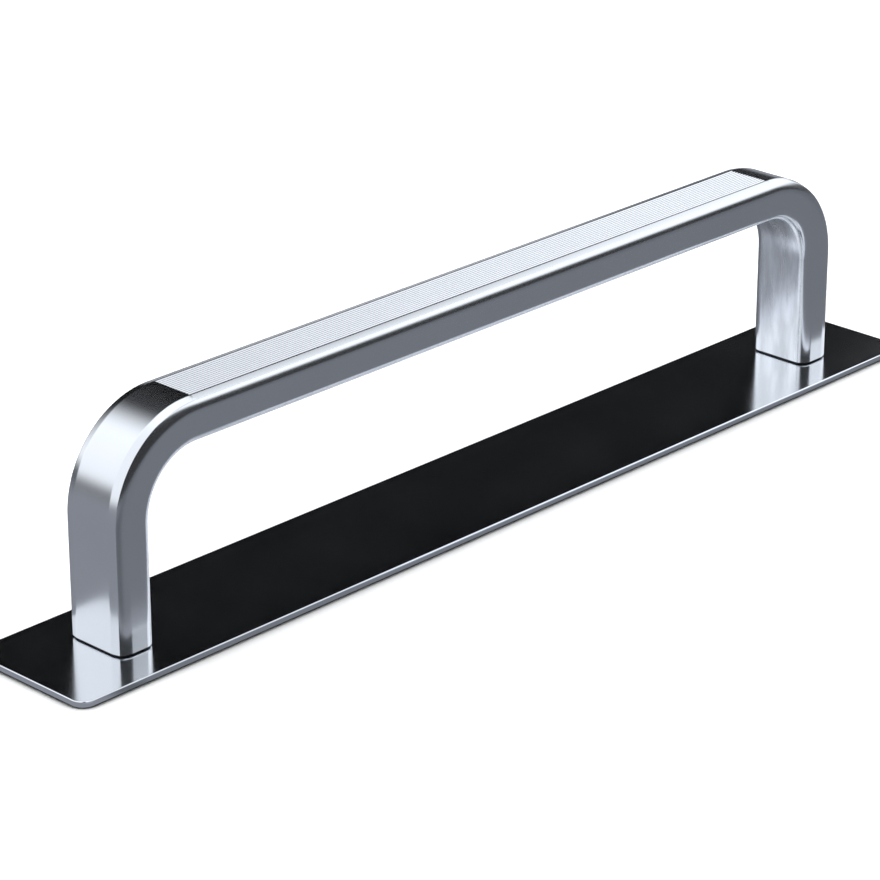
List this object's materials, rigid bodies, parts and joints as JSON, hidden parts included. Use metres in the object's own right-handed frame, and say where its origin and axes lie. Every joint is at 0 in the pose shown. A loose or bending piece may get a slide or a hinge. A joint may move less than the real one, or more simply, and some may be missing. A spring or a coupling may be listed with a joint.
{
  "type": "cabinet handle",
  "caption": "Satin metal bow pull with a finely ribbed top and rounded bends, standing on a thin bevelled backplate and screwed from behind.",
  "frame": {"origin": "middle of the backplate's underside, where it meets the door", "axes": "+X along the handle from leg to leg, +Y across it, +Z away from the door towards the grip"},
  "size_m": [0.1936, 0.025, 0.0374],
  "materials": {
    "handle_metal": "satin plated casting, smooth with finely ribbed grip",
    "plate_metal": "satin sheet with bright bevelled rim"
  },
  "bodies": {
    "root": {"handle": "handle_metal", "backplate": "plate_metal"}
  },
  "joints": []
}
